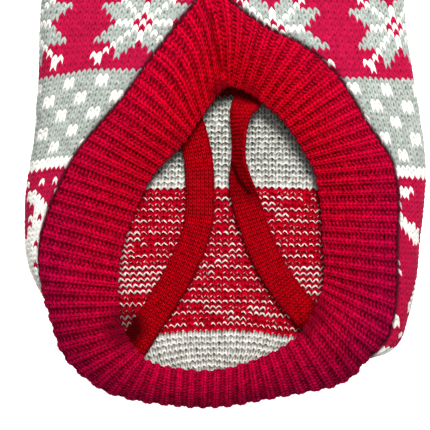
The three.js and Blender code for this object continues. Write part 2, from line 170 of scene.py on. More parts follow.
STRAP_COLUMNS = ("x", "up", "height", "roll")
LEFT_STRAP = table(
    STRAP_COLUMNS,
    [
        (-26, 166, 12.4, 0),
        (-21.5, 153, 9.2, 0),
        (-16.5, 139, 5.6, 0),
        (-13.2, 124, 4.4, 0),
        (-12.4, 108, 4.2, 0),
        (-13.2, 93, 4.2, 0),
        (-17.5, 79.5, 4.2, 0),
        (-24.5, 65, 4.2, 0),
        (-32.5, 52, 4.2, 0),
        (-39.8, 40.5, 4.2, 0),
        (-46.5, 30, 4.2, 0),
    ],
)
RIGHT_STRAP = table(
    STRAP_COLUMNS,
    [
        (22, 174, 9.6, 0),
        (17.5, 163, 8, 0),
        (11.5, 154.5, 6.2, 10),
        (7.6, 145, 9.6, 50),
        (6.9, 133, 10.8, 66),
        (6.8, 123, 10.6, 62),
        (8.2, 112, 8.6, 35),
        (11, 102, 5.4, 8),
        (14.4, 91, 4.2, 0),
        (18.8, 79.5, 4.2, 0),
        (25, 67.5, 4.2, 0),
        (32.4, 56.8, 4.2, 0),
        (40, 48, 4.2, 0),
        (47.5, 39, 4.2, 0),
    ],
)
STRAP_WIDTH = 15.5
STRAP_THICKNESS = 2.2

# Neck, collar and cuffs
NECK_UP = {"back": 316.0, "belly": 300.0}
NECK_SIDE_UP = 309.0
COLLAR_HALF_WIDTH = 53.0
COLLAR_HALF_HEIGHT = 6.5
COLLAR_RIBS = 38
COLLAR_COURSES = 28
CUFF_REACH = 113.0
CUFF_UP = 255.0
CUFF_HALF = 24.0
CUFF_HALF_HEIGHT = 6.5
CUFF_RIBS = 20
CUFF_COURSES = 15


def mix(a, b, share):
    return a + (b - a) * share


def ease(value):
    value = np.clip(value, 0, 1)
    return value * value * (3 - 2 * value)


def vec(x, y, z):
    """An array of points from coordinates that broadcast together."""
    return np.stack(np.broadcast_arrays(x, y, z), axis=-1).astype(float)


def unit(v):
    return v / np.maximum(np.linalg.norm(v, axis=-1, keepdims=True), 1e-9)


# Surfaces


def smooth_column(rows, name, up):
    """A column of a table at each distance up, on a smooth curve with no overshoot."""
    x, y = rows["up"], rows[name]
    up = np.clip(up, x[0], x[-1])
    i = np.clip(np.searchsorted(x, up, side="right") - 1, 0, len(x) - 2)
    secants = np.diff(y) / np.diff(x)
    before, after = np.r_[secants[0], secants], np.r_[secants, secants[-1]]
    product = before * after
    total = np.where(before + after == 0, 1, before + after)
    slopes = np.where(product > 0, 2 * product / total, 0)
    span = x[i + 1] - x[i]
    f = (up - x[i]) / span
    return (
        y[i] * (1 + 2 * f) * (1 - f) ** 2
        + slopes[i] * span * f * (1 - f) ** 2
        + y[i + 1] * f * f * (3 - 2 * f)
        + slopes[i + 1] * span * f * f * (f - 1)
    )


def smooth_row(rows, place, closed):
    """Every column of a table at each place between its rows, on a Catmull-Rom curve."""
    count = len(next(iter(rows.values())))
    i = np.floor(place).astype(int)
    f = place - i
    picks = [i - 1, i, i + 1, i + 2]
    picks = [p % count if closed else np.clip(p, 0, count - 1) for p in picks]

    def at(y):
        a, b, c, d = (y[p] for p in picks)
        bend = 2 * a - 5 * b + 4 * c - d + f * (3 * (b - c) + d - a)
        return b + 0.5 * f * (c - a + f * bend)

    return {name: at(column) for name, column in rows.items()}


def half_section(side, up):
    """The flat part, the quarter fold and the whole path of a half section."""
    left, right = smooth_column(BODY, "left", up), smooth_column(BODY, "right", up)
    flat = np.where(side < 0, left, right) - FOLD_DEPTH
    fold = (math.pi / 2) * math.sqrt((FOLD_DEPTH**2 + FOLD_HEIGHT**2) / 2)
    return flat, fold, flat + fold


def body_point(face, across, up, depth=0.0):
    """A point of the body. Across runs from -1 at the left side to 1 at the right, and depth is how
    far beneath the outer surface it lies."""
    side = np.where(across < 0, -1, 1)
    flat, fold, path = half_section(side, up)
    along = np.abs(across) * path
    angle = np.maximum(0, along - flat) / fold * (math.pi / 2)
    x = np.minimum(along, flat) + (FOLD_DEPTH - depth) * np.sin(angle)
    lift = 1 if face == "belly" else -1
    z = FOLD_HEIGHT + lift * (FOLD_HEIGHT - depth) * np.cos(angle)
    if face == "belly":
        z = z + smooth_column(BODY, "crown", up) * np.cos(math.pi / 2 * np.minimum(1, along / flat)) ** 2
    return vec(side * x, up, z)


def across_of(x, up):
    """Which share of the half section lies at a distance x from the middle."""
    side = np.where(x < 0, -1, 1)
    flat, fold, path = half_section(side, up)
    over = np.clip((np.abs(x) - flat) / FOLD_DEPTH, 0, 1)
    return side * (np.minimum(np.abs(x), flat) + np.arcsin(over) / (math.pi / 2) * fold) / path


def lean(out, outwards, upwards):
    """A direction in the upright plane through the band."""
    level = out * np.asarray(outwards)[..., None]
    level[..., 2] = upwards
    return level


def band_frame(place):
    """The band's seam, edge and outward direction at each place round the opening."""
    row = smooth_row(BAND, place, True)
    turn = np.radians(np.clip(row["turn"], 0, 180))
    edge = vec(row["edge_x"], row["edge_up"], 0)
    rim = vec(row["rim_x"], row["rim_up"], 0)
    out = unit(rim - edge)
    tuck = HEM_TUCK * np.clip((np.degrees(turn) - 90) / 90, 0, 1)
    seam = rim - out * tuck[..., None]
    on_top = body_point("belly", across_of(seam[..., 0], seam[..., 1]), seam[..., 1])[..., 2]
    crown = np.maximum(0, on_top - 2 * FOLD_HEIGHT) * np.maximum(0, np.cos(turn))
    seam[..., 2] = FOLD_HEIGHT * (1 + np.cos(turn)) + crown
    belly = ease((row["edge_up"] - 100) / 50)
    edge[..., 2] = mix(EDGE_HEIGHT_TAIL, EDGE_HEIGHT_BELLY, belly)
    return turn, seam, edge, out


def wall_profile(curve, normals, thickness):
    """A wall's whole path from its outer face over its free edge and back along its inside.
    The curve is an array of points, a row for each step along it and a column for each place."""
    ends = unit(curve[-1] - curve[-2])
    middle = curve[-1] - normals[-1] * thickness / 2
    turns = np.linspace(0, math.pi, 8)[1:-1, None, None]
    directions = normals[-1] * np.cos(turns) + ends * np.sin(turns)
    rim = middle + directions * thickness / 2
    inner = curve - normals * thickness
    return (
        np.concatenate([curve, rim, inner[::-1]]),
        np.concatenate([normals, directions, -normals[::-1]]),
    )


def band_curve(place, steps=28):
    """The band's outer curve from seam to edge and its normals, a column for each place."""
    turn, seam, edge, out = band_frame(place)
    start = np.maximum(BAND_RISE, turn)
    wrapped = ease(turn / math.pi)
    reach = np.linalg.norm((seam - edge)[:, :2], axis=1)
    start_pull = mix(0.36 * reach, 19, wrapped)
    end_pull = mix(0.42 * reach, 16, wrapped)
    end_lean = np.radians(mix(24, 40, wrapped))
    first = seam + lean(out, -np.cos(start), np.sin(start)) * start_pull[:, None]
    second = edge + lean(out, np.cos(end_lean), np.sin(end_lean)) * end_pull[:, None]
    f = np.linspace(0, 1, steps)[:, None, None]
    g = 1 - f
    curve = seam * g**3 + first * 3 * f * g**2 + second * 3 * f**2 * g + edge * f**3
    tangent = (first - seam) * g**2 + (second - first) * 2 * f * g + (edge - second) * f**2
    outwards = (tangent[..., :2] * out[None, :, :2]).sum(-1)
    normals = unit(lean(np.broadcast_to(out, curve.shape).copy(), tangent[..., 2], -outwards))
    return curve, normals


def even_places(count):
    """Places round the band that lie equal distances apart along the middle of its width."""
    places = np.linspace(0, BAND_ROWS, BAND_ROWS * 20 + 1)
    _, seam, edge, _ = band_frame(places)
    middle = (seam + edge) / 2
    lengths = np.r_[0, np.cumsum(np.linalg.norm(np.diff(middle, axis=0), axis=1))]
    return np.interp(np.arange(count) / count * lengths[-1], lengths, places)


def along_path(path, normals, shares):
    """Points and normals at shares of each column's length. Shares has a row for each course."""
    lengths = np.linalg.norm(np.diff(path, axis=0), axis=-1)
    lengths = np.concatenate([np.zeros((1, path.shape[1])), np.cumsum(lengths, axis=0)])
    points = np.empty(shares.shape + (3,))
    directions = np.empty(shares.shape + (3,))
    for c in range(shares.shape[1]):
        wanted = shares[:, c] * lengths[-1, c]
        for k in range(3):
            points[:, c, k] = np.interp(wanted, lengths[:, c], path[:, c, k])
            directions[:, c, k] = np.interp(wanted, lengths[:, c], normals[:, c, k])
    return points, unit(directions)


# Stitches. A cell is one wale of plain knitting, or one rib, by one course. Place is how far across
# the cell each of its columns of points lies and lean how far up its course, start is where each of
# its rows begins, and height and the painted shade have a row for each of those. Height is 1 at the top
# of the yarn, and the painted shade is 1 in the holes between stitches, where shade falls.

PLAIN = {
    "place": [0.0, 0.25, 0.5, 0.75],
    "lean": [0.0, 0.38, 0.7, 0.38],
    "start": [0.0, 0.28, 0.55, 0.8],
    "height": [
        [0.30, 0.78, 0.05, 0.78],
        [0.42, 0.97, 0.40, 0.97],
        [0.46, 1.00, 0.62, 1.00],
        [0.36, 0.90, 0.45, 0.90],
    ],
    "painted_shade": [
        [0.50, 0.22, 0.95, 0.22],
        [0.38, 0.02, 0.60, 0.02],
        [0.34, 0.00, 0.15, 0.00],
        [0.42, 0.08, 0.35, 0.08],
    ],
}
PLAIN_LIGHT = {
    "place": PLAIN["place"],
    "lean": PLAIN["lean"],
    "start": [0.0, 0.36, 0.72],
    "height": PLAIN["height"][:1] + PLAIN["height"][2:],
    "painted_shade": PLAIN["painted_shade"][:1] + PLAIN["painted_shade"][2:],
}
REVERSE = {
    "place": [0.0, 0.25, 0.5, 0.75],
    "lean": [0.0, 0.34, 0.56, 0.34],
    "start": [0.0, 0.12, 0.31],
    "height": [
        [0.10, 0.40, 0.05, 0.40],
        [0.40, 1.00, 0.85, 1.00],
        [0.65, 0.60, 0.30, 0.60],
    ],
    "painted_shade": [
        [1.00, 0.60, 1.00, 0.60],
        [0.70, 0.00, 0.05, 0.00],
        [0.45, 0.20, 1.00, 0.20],
    ],
}
RIB = {
    "place": [0.0, 0.11, 0.22, 0.33, 0.44, 0.58, 0.72, 0.86],
    "lean": [0.0, 0.35, 0.55, 0.35, 0.0, 0.35, 0.5, 0.35],
    "start": [0.0, 0.35, 0.7],
    "height": [
        [0.52, 0.70, 0.54, 0.70, 0.52, 0.14, 0.00, 0.14],
        [0.76, 1.00, 0.80, 1.00, 0.76, 0.26, 0.44, 0.26],
        [0.72, 0.96, 0.74, 0.96, 0.72, 0.10, 0.24, 0.10],
    ],
    "painted_shade": [
        [0.80, 0.62, 1.00, 0.62, 0.80, 0.90, 1.00, 0.90],
        [0.40, 0.00, 0.65, 0.00, 0.40, 0.60, 0.10, 0.60],
        [0.45, 0.10, 0.80, 0.10, 0.45, 0.95, 0.55, 0.95],
    ],
}


def grid(stitch, cells, courses):
    """The cell coordinates of a knitted grid's points, with their heights and their painted shade."""
    u = (np.arange(cells)[:, None] + stitch["place"]).ravel()
    v = np.r_[(np.arange(courses)[:, None] + stitch["start"]).ravel(), courses]
    v = v[:, None] + np.tile(stitch["lean"], cells)[None, :]
    fields = []
    for name in ("height", "painted_shade"):
        cell = np.array(stitch[name])
        fields.append(np.vstack([np.tile(cell, (courses, cells)), np.tile(cell[:1], (1, cells))]))
    return u, v, *fields


def cell_of(stitch):
    return len(stitch["start"]), len(stitch["place"])


def build_mesh(name, points, cell_shape, counts, yarns, keep, closed, joined=False):
    """A knitted mesh from a grid of points in millimetres. Yarns and keep have a value for each cell.
    A closed mesh goes all round, and a joined one has its last row joined to its first."""
    courses, cells = counts
    per_course, per_cell = cell_shape
    height, width = points.shape[:2]
    spans = width if closed else width - 1
    r, c = np.meshgrid(np.arange(height if joined else height - 1), np.arange(spans), indexing="ij")
    low, high = r * width, (r + 1) % height * width
    nxt = (c + 1) % width
    quads = np.stack([low + c, low + nxt, high + nxt, high + c], axis=-1)
    j, i = np.minimum(r // per_course, courses - 1), np.minimum(c // per_cell, cells - 1)
    kept = keep[j, i]
    quads, colours = quads[kept], yarns(j, i, r % per_course, c % per_cell)[kept]
    used, index = np.unique(quads, return_inverse=True)
    flat = points.reshape(-1, 3)[used]
    flat = np.column_stack([flat[:, 0], flat[:, 1] + HEM_Y, np.maximum(0, flat[:, 2])]) * MM
    mesh = bpy.data.meshes.new(name)
    mesh.from_pydata(flat.tolist(), [], index.reshape(-1, 4).tolist())
    mesh.polygons.foreach_set("material_index", colours.astype(np.int32))
    mesh.polygons.foreach_set("use_smooth", np.ones(len(mesh.polygons), dtype=bool))
    mesh.update()
    piece = bpy.data.objects.new(name, mesh)
    bpy.context.scene.collection.objects.link(piece)
    return piece, used


def store(piece, name, values):
    """Stores a value for each point, for the yarns' shading."""
    attribute = piece.data.attributes.new(name, "FLOAT", "POINT")
    attribute.data.foreach_set("value", np.clip(values, 0, 1).astype(np.float32).ravel())


def wobble(shape, seed, amount):
    """A small uneven shift for each point of a grid."""
    return np.random.default_rng(seed).normal(0, amount, shape)


def drift(u, v, seed, spacing, amount):
    """A soft uneven shift over a whole grid, with bumps about one spacing of cells apart."""
    a, b = np.broadcast_arrays(u / spacing, v / spacing)
    a, b = a - a.min(), b - b.min()
    values = np.random.default_rng(seed).normal(0, amount, (int(b.max()) + 3, int(a.max()) + 3))
    i, j = a.astype(int), b.astype(int)
    f, g = ease(a - i), ease(b - j)
    low = mix(values[j, i], values[j, i + 1], f)
    high = mix(values[j + 1, i], values[j + 1, i + 1], f)
    return mix(low, high, g)


# Colour charts, a letter for each stitch. R is red, W white and G grey.

# Half a star and half a tree, from the star's middle row outwards. Each row runs from the star's
# axis to the tree's, and the band mirrors it both ways.
STAR_CHART = [
    "WRWWWRRRRRR",
    "RWGGGGRRRRR",
    "WGWGGGGRRRR",
    "WGGWGGGGRRR",
    "RGGGWRRRRRR",
    "RRGGRWRRRRR",
    "RRRGRRWWRRR",
    "RRRRRRWRRRR",
    "RRRRRRRRRRR",
]
STAR_AXIS = 19
STAR_REPEAT = 20

# A quarter of a large snowflake, from its middle row outwards
FLAKE_CHART = [
    "WWWWWWWWRRRRRRRR",
    "WWWWWWWRRRRRRRRR",
    "WWWRWWWWRRRRRRRR",
    "WWWWWWWRRRRRRRRR",
    "WWRWWWRRRRRRRWWR",
    "WWWWWWRRRRRRWWWR",
    "WWWWWRRRRRRWWWWR",
    "WWWRWWRRRRWWWWRR",
    "WWWWWRRRRWWWRRRR",
    "WRWWWRRRRWWRRRRR",
    "RRRWWWRRRRRRRRRR",
    "RRRRWWWRRRWRRRRR",
    "WRRRRWWRRRRRRRRR",
    "RRRRRRRRRRRWWRRR",
    "RWRRWRRWRRRWWWRR",
    "RRRRRRRRRRRRRRRR",
]
FLAKE_AXIS = 12
FLAKE_REPEAT = 30
DOT_REPEAT = 6
DOT_PHASE = 4


def mirrored(chart, row, wale, axis, repeat, middle):
    """A chart's letter where it is mirrored about its axis and its middle row."""
    x = abs((wale - axis + repeat // 2) % repeat - repeat // 2)
    y = abs(row - middle)
    line = chart[min(y, len(chart) - 1)]
    return line[min(x, len(line) - 1)]


def stars(row, rows, wale):
    return mirrored(STAR_CHART, row, wale, STAR_AXIS, STAR_REPEAT, rows // 2)


def flakes(row, rows, wale):
    return mirrored(FLAKE_CHART, row, wale, FLAKE_AXIS, FLAKE_REPEAT, rows // 2)


def dots(row, rows, wale):
    from_top = rows - 1 - row
    line, within = divmod(from_top - 1, 3)
    place = min(wale, PANEL_WALES - 1 - wale) + DOT_PHASE + 3 * (line % 2)
    return "W" if from_top > 0 and within < 2 and place % DOT_REPEAT < 2 else "G"


def stripe(row, rows, wale):
    return "W"


# The zones of a panel from the hem up: a chart, its rows, and its height along the middle
ZONES = [
    (dots, 12, 34.0),
    (stripe, 2, 5.0),
    (flakes, 33, 83.5),
    (stripe, 2, 5.0),
    (dots, 16, 39.5),
    (stars, 17, 44.0),
    (dots, 16, 42.0),
    (stripe, 2, 5.0),
    (flakes, 24, 64.0),
]
PANEL_ROWS = sum(rows for _, rows, _ in ZONES)
ZONE_START = {"belly": 5.5, "back": -1.25}


def panel_chart():
    """The yarn of each stitch of a panel, a row of the array for each course."""
    chart = np.empty((PANEL_ROWS, PANEL_WALES), dtype=int)
    done = 0
    for pattern, rows, _ in ZONES:
        for row in range(rows):
            letters = [pattern(row, rows, wale) for wale in range(PANEL_WALES)]
            chart[done + row] = [YARN_OF[letter] for letter in letters]
        done += rows
    return chart


def row_up(face, v):
    """How far up a panel's middle each course lies."""
    rows = np.cumsum([0] + [rows for _, rows, _ in ZONES])
    ups = ZONE_START[face] + np.cumsum([0] + [height for _, _, height in ZONES])
    slope = (ups[-1] - ups[-2]) / (rows[-1] - rows[-2])
    beyond = np.maximum(0, v - rows[-1]) * slope
    return np.interp(v, rows, ups) + beyond


# How far the belly's courses lie from where they would be if they were level: a row for each height,
# and a column for each share of the way across
BOW_ACROSS = [-1, -0.85, -0.7, -0.4, 0.25, 0.65, 0.95]
BOW_UP = [128, 172.5, 200, 250]
BELLY_BOW = [
    [-10, -7.5, -7, -7, -8, -10, -13],
    [-8.5, -5.8, -3.6, -3.3, -6, -7.6, -8.4],
    [-2, -2, -2, -2, -5.5, -4.8, -3.5],
    [-2, -1, 0, 0, 0, -1, -2],
]

# How far the belly's wales lean towards the middle on their way up, from below a height, and the
# distance from the middle over which the lean sets in
WALE_LEAN = 0.24
LEAN_BELOW = {"left": 207, "right": 213}
LEAN_SPAN = 45


def course_bow(face, across, up):
    """How far each course bends up or down across a panel."""
    if face == "belly":
        levels = np.array([np.interp(across, BOW_ACROSS, row) for row in BELLY_BOW])
        place = np.interp(up, BOW_UP, np.arange(len(BOW_UP)))
        low = np.minimum(place.astype(int), len(BOW_UP) - 2)
        below = np.take_along_axis(levels, low[None], axis=0)[0]
        above = np.take_along_axis(levels, low[None] + 1, axis=0)[0]
        return mix(below, above, place - low)
    near = np.clip(across, -0.45, 0.45)
    low = -25 * near**2 - near
    return 6 * ease((np.abs(across) - 0.6) / 0.4) + mix(low, -2 * across**2, ease((up - 20) / 55))


def lean_wales(across, up):
    """The belly's wales lean inwards on their way up, so that lower down the outer ones run over the
    side folds, and they crowd together there."""
    path = half_section(np.sign(across), up)[2]
    below = np.where(across < 0, LEAN_BELOW["left"], LEAN_BELOW["right"])
    along = np.abs(across) * path
    crowding = 1 - 0.3 * ease((along - 55) / 25)
    out = WALE_LEAN * np.maximum(0, below - up) * ease(along / LEAN_SPAN) * crowding
    return across + np.sign(across) * out / path


# Panels


def polyline_distance(x, y, line):
    """The distance from each point to an open polyline, less than zero on its left-hand side."""
    best = np.full(x.shape, 1e9)
    offset = np.zeros(x.shape)
    for (ax, ay), (bx, by) in zip(line[:-1], line[1:]):
        dx, dy = bx - ax, by - ay
        share = np.clip(((x - ax) * dx + (y - ay) * dy) / (dx * dx + dy * dy), 0, 1)
        away = np.hypot(x - ax - share * dx, y - ay - share * dy)
        across_line = (dy * (x - ax) - dx * (y - ay)) / math.hypot(dx, dy)
        # Two lines meet at the nearest corner, and the one that the point is further off decides
        level = np.isclose(away, best) & (np.abs(across_line) > np.abs(offset))
        nearer = (away < best) | level
        best = np.where(nearer, away, best)
        offset = np.where(nearer, across_line, offset)
    return np.where(offset < 0, -best, best)


LEFT_CORNER = 10
RIGHT_CORNER = 23


def seam_line(face):
    """The band's seam over one panel, from left to right, in lengths along the section and up."""
    if face == "belly":
        places = np.r_[np.linspace(LEFT_CORNER, 0, 60), np.linspace(BAND_ROWS, RIGHT_CORNER, 80)[1:]]
    else:
        places = np.linspace(LEFT_CORNER, RIGHT_CORNER, 90)
    _, seam, _, _ = band_frame(places)
    x, up = seam[:, 0], seam[:, 1]
    path = half_section(np.sign(x), up)[2]
    line = np.column_stack([across_of(x, up) * path, up])
    first, last = line[0], line[-1]
    return np.vstack([first - [30, 0], line, last + [30, 0]])


def neck_up(face, across):
    return mix(NECK_UP[face], NECK_SIDE_UP, across**2)


def beyond_edges(face, across, up):
    """How far each point lies beyond the nearest edge of its panel: band, neck or armhole."""
    path = half_section(np.sign(across), up)[2]
    line = seam_line(face)
    seam = polyline_distance(across * path, up, line)
    limit = 1 - np.interp(up, ARMHOLE["up"], ARMHOLE["cut"])
    armhole = np.where(limit < 1, (np.abs(across) - limit) * path, -9)
    neck = up - neck_up(face, across)
    return np.maximum(np.maximum(seam, armhole), neck)


EDGE_SINK = 1.9
EDGE_LAP = 2.0
INSIDE_LAP = -1.2
# How far from a seam its red sewing shows, painted dark with the shade of the crease there
SEWN_SHADE_REACH = 1.0
# How far above its start the visible middle of a course lies
STITCH_RISE = 0.4
SHADE_REACH = 3.4
# How much deeper the painted shade in the inside's holes is above its large motifs
UPPER_CONTRAST = 1.2


# How dark the shade under the band's edge is by the hem and further up, and where it deepens
HEM_SHADE = 0.2
FULL_SHADE = 0.75
SHADE_DEEPENS = (42, 30)


def shade_under_band(points):
    """How deep in the shade of the band's free edge each point inside the opening lies."""
    edge = np.column_stack([BAND["edge_x"], BAND["edge_up"]])
    inside = polyline_distance(points[..., 0], points[..., 1], np.vstack([edge, edge[:1]]))
    start, span = SHADE_DEEPENS
    depth = mix(HEM_SHADE, FULL_SHADE, ease((points[..., 1] - start) / span))
    return depth * ease((SHADE_REACH + inside) / SHADE_REACH)


# Soft shade inside the opening: a middle, a reach and a strength for each patch
SHADE_PATCHES = table(
    ("x", "up", "reach", "depth"),
    [
        (-50, 41, 16, 0.92),
        (-22, 134, 7, 0.5),
        (-2, 158, 9, 0.9),
        (11, 158, 9, 0.7),
        (46, 46, 7, 0.8),
        (40, 40, 7, 0.8),
        (47, 52, 6, 0.7),
        (14, 112, 3.5, 0.4),
    ],
)

# The crease of the right strap's twist, along which shade is painted
TWIST = np.array([(3.4, 122.5), (6.2, 115), (11.8, 107.5)])
TWIST_REACH = 1.8


def spots_of_shade(points):
    """How deep in the soft patches of shade each point lies."""
    shade = np.zeros(points.shape[:-1])
    for x, up, reach, depth in zip(*SHADE_PATCHES.values()):
        away = np.hypot(points[..., 0] - x, points[..., 1] - up)
        shade = np.maximum(shade, depth * ease(1.6 * (1 - away / reach)))
    return shade


def patchy_shade(points):
    """How deep each point lies in the shade of the band or in a patch of shade."""
    return np.maximum(shade_under_band(points), spots_of_shade(points))


# Painted shade: the dark edge beside a seam, and the soft shade further out
SEAM_SHADES = table(("depth", "start", "reach"), [(0.65, 2, 1.9), (0.28, 9, 9)])


def shade_by_seam(beyond):
    """How deep the painted shade is on a panel's outer face beside its seams."""
    rows = zip(*SEAM_SHADES.values())
    return np.maximum(*(depth * ease((beyond + start) / reach) for depth, start, reach in rows))


def panel(name, face, stitch, rows, relief, layer, yarns):
    """One knitted layer of a panel. The layer is how deep it lies and which way its stitches stand."""
    depth, outwards = layer
    outer = outwards > 0
    wales = PANEL_WALES if outer else INSIDE_WALES
    seed = 30 if face == "belly" else 50
    u, v, height, painted_shade = grid(stitch, wales, rows)
    shift_u = drift(u, v, seed + 1, 4, 0.07) + wobble(v.shape, seed + 2, 0.035)
    shift_v = drift(u, v, seed + 3, 4, 0.1) + wobble(v.shape, seed + 4, 0.05)
    across = 2 * (u + shift_u * np.sin(math.pi * u / wales)) / wales - 1
    up = row_up(face, (v + shift_v - STITCH_RISE) * PANEL_ROWS / rows)
    if face == "belly":
        across = lean_wales(across, up)
    centre = tuple(slice(count // 2, None, count) for count in cell_of(stitch))
    on_panel = np.abs(across[centre]) < 1 + 1 / wales
    across = np.clip(across, -1, 1)
    up = up + course_bow(face, across, up)
    beyond = beyond_edges(face, across, up)
    stand = (height - 1) * relief + wobble(v.shape, seed + 5, 0.08) + drift(u, v, seed + 6, 5, 0.12)
    sunk = ease((beyond + 1.8) / 2.4) if outer else 0 * up
    points = body_point(face, across, up, depth + EDGE_SINK * sunk - outwards * stand)
    keep = on_panel & (beyond[centre] < (EDGE_LAP if outer else INSIDE_LAP))
    keep = keep[:rows, :wales]
    piece, used = build_mesh(name, points, cell_of(stitch), (rows, wales), yarns, keep, False)
    # The seam's red sewing, painted dark with the shade of the crease beside the band
    if outer:
        store(piece, "second", ease((beyond + SEWN_SHADE_REACH) / 0.8).reshape(-1)[used])
    # Painted shade: the holes between stitches, the edge beside the seams outside, and the band's shade
    # and the patches inside
    dark = shade_by_seam(beyond) if outer else patchy_shade(points)
    contrast = 1 if outer else mix(1, UPPER_CONTRAST, ease((up - 108) / 14))
    hole_shade = painted_shade * contrast * (1 + wobble(v.shape, seed + 7, 0.3))
    store(piece, "painted_shade", np.maximum(hole_shade, dark).reshape(-1)[used])
    return piece


def face_yarns(j, i, sub_row, sub_column):
    return CHART[np.minimum(j, PANEL_ROWS - 1), i]


REVERSE_ROWS = 110
# How far the inside's pattern is drawn up below its large motifs, and drawn down from there up
INSIDE_LIFT = 1.75
INSIDE_DROP = 9.85
# Rows of solid white on the inside of the back, and how far from the middle they begin
FLOAT_ROWS = (20, 25)
FLOAT_FROM = 0.25
# Loose white loops on the inside, in slanting lines: where each line starts, in millimetres, its step
# sideways and its width in wales, and its number of rows
LOOSE_LINES = table(
    ("x", "up", "step", "width", "rows"),
    [
        (1, 105.5, 1, 1.5, 2),
        (2, 93, 1.5, 1, 3),
        (4, 79.5, -1, 1.5, 3),
        (21, 103, 1, 1.5, 3),
        (-12, 56.5, 2, 2.5, 4),
        (17, 52, 2, 3, 2),
        (-10, 71.5, 1, 1.5, 2),
        (-44, 90.5, -0.5, 4, 6),
        (-51, 50, 0, 2, 3),
    ],
)


def on_loose_line(j, i, up):
    """Which stitches of the inside belong to a line of loose loops."""
    x = (2 * (i + 0.5) / INSIDE_WALES - 1) * 95
    pitch_x, pitch_up = 190 / INSIDE_WALES, 2.87
    found = np.zeros(j.shape, dtype=bool)
    for k in range(len(LOOSE_LINES["x"])):
        x0, up0, step, width, rows = (LOOSE_LINES[name][k] for name in LOOSE_LINES)
        down = np.round((up0 - up) / pitch_up)
        away = np.abs(x - x0 - step * down * pitch_x)
        found |= (down >= 0) & (down < rows) & (away < width * pitch_x / 2)
    return found


# The inside's red zone: the share of its stitches with a white wave, a break in it, and white flecks
WAVE_SHARE = 0.98
GAP_SHARE = 0.75
FLECK_SHARE = 0.7
# The inside's grey zones: the share of thin strokes that show, and of bright courses and stitches
STROKE_SHARE = 0.94
BRIGHT_COURSES = 0.5
BRIGHT_STITCHES = 0.3


def reverse_yarns(j, i, sub_row, sub_column):
    """The inside of a panel. Each course has a thin wave of one yarn and a thick one of another."""
    up = row_up("back", (j + 0.5) * PANEL_ROWS / REVERSE_ROWS)
    tops = ZONE_START["back"] + np.cumsum([height for _, _, height in ZONES])
    tops[:2] += INSIDE_LIFT
    tops[2:] -= INSIDE_DROP
    zone = np.clip(np.searchsorted(tops, up), 0, len(ZONES) - 1)
    bases = {"dots": GREY, "stripe": WHITE, "stars": RED, "flakes": RED}
    base = np.array([bases[pattern.__name__] for pattern, _, _ in ZONES])[zone]
    base = np.where(zone == 0, PALE, base)
    thin = sub_row < 2
    chance = np.random.default_rng(11).random((REVERSE_ROWS, INSIDE_WALES))[j, i]
    gap_chance = np.random.default_rng(13).random((REVERSE_ROWS, INSIDE_WALES))[j, i]
    row_chance = np.random.default_rng(12).random(REVERSE_ROWS)[j]
    gap = (sub_column == 0) & (gap_chance < GAP_SHARE)
    wave = (sub_row == 1) & (j % 2 == 0) & (chance < WAVE_SHARE) & ~gap
    fleck = (sub_row == 0) & (j % 2 == 1) & (sub_column % 2 == 1) & (chance < FLECK_SHARE)
    middle = 2 * (i + 0.5) / INSIDE_WALES - 1
    floats = (j >= FLOAT_ROWS[0]) & (j < FLOAT_ROWS[1]) & (np.abs(middle) > FLOAT_FROM)
    loose = on_loose_line(j, i, up)
    result = np.where((base == RED) & (wave | (thin & (loose | floats))), WHITE, base)
    result = np.where((base == RED) & fleck & (result == RED), PALE, result)
    bright = (row_chance < BRIGHT_COURSES) | (chance < BRIGHT_STITCHES) | (base == PALE)
    pale_row = ((base == GREY) | (base == PALE)) & thin & (chance < STROKE_SHARE)
    return np.where(pale_row, np.where(bright, WHITE, PALE), result)


CHART = panel_chart()


# Tubes and bands of rib


RIB_RELIEF = 1.35
RIB_RIM_SHARE = 0.6


def unshaded(points):
    return 0.0


def ribbed(name, path, normals, counts, materials, shade=unshaded):
    """Rib knitting along a path, which has a column for each column of the grid. The shade gives how
    dark its creases are."""
    ribs, courses = counts
    u, v, height, painted_shade = grid(RIB, ribs, courses)
    # No two ribs have their courses side by side
    ends = np.sin(math.pi * np.clip(v / courses, 0, 1)) ** 0.5
    v = v + ends * np.repeat(wobble(ribs, 12, 0.35), len(RIB["place"])) + ends * wobble(v.shape, 13, 0.06)
    painted_shade = np.clip(painted_shade + wobble(v.shape, 10, 0.16), 0, 1)
    shares = np.clip(v / courses, 0, 1)
    points, directions = along_path(path, normals, shares)
    # The ribs are lower round the free edge, and the first course dips into the seam
    rim = mix(RIB_RIM_SHARE, 1, ease(np.abs(shares - 0.5) / 0.06))
    seam = 1 - ease(shares * courses / 0.8)
    rim = rim * (1 - 0.4 * seam)
    uneven = wobble(v.shape, 7, 0.08) + drift(u, v, 8, 3, 0.16) * np.sin(math.pi * u / ribs)
    stand = (height - 1) * RIB_RELIEF * rim + uneven - 0.7 * seam
    points = points + directions * stand[..., None]
    keep = np.ones((courses, ribs), dtype=bool)
    counts = (courses, ribs)
    piece, used = build_mesh(name, points, cell_of(RIB), counts, one_yarn, keep, True, True)
    # Painted shade: in the holes between stitches, in the first course where it dips into the seam, and
    # in the creases
    dark = np.maximum(painted_shade, np.maximum(seam, shade(points)))
    store(piece, "painted_shade", dark.reshape(-1)[used])
    finish_piece(piece, materials)
    return piece, shares.reshape(-1)[used], points.reshape(-1, 3)[used]


def one_yarn(j, i, sub_row, sub_column):
    return np.zeros(j.shape, dtype=int)


def rib_places(ribs):
    """Where the columns of a ribbed grid lie round a tube, as shares of the way round."""
    return ((np.arange(ribs)[:, None] + RIB["place"]) / ribs).ravel()


# The crease at the top of the band, from its outer end to its inner one, in millimetres across and up
CREASE = np.array([(-7.5, 196.0), (-5.5, 183.0), (-1.5, 167.0)])
CREASE_DEPTH = 1.7
CREASE_REACH = 2.6
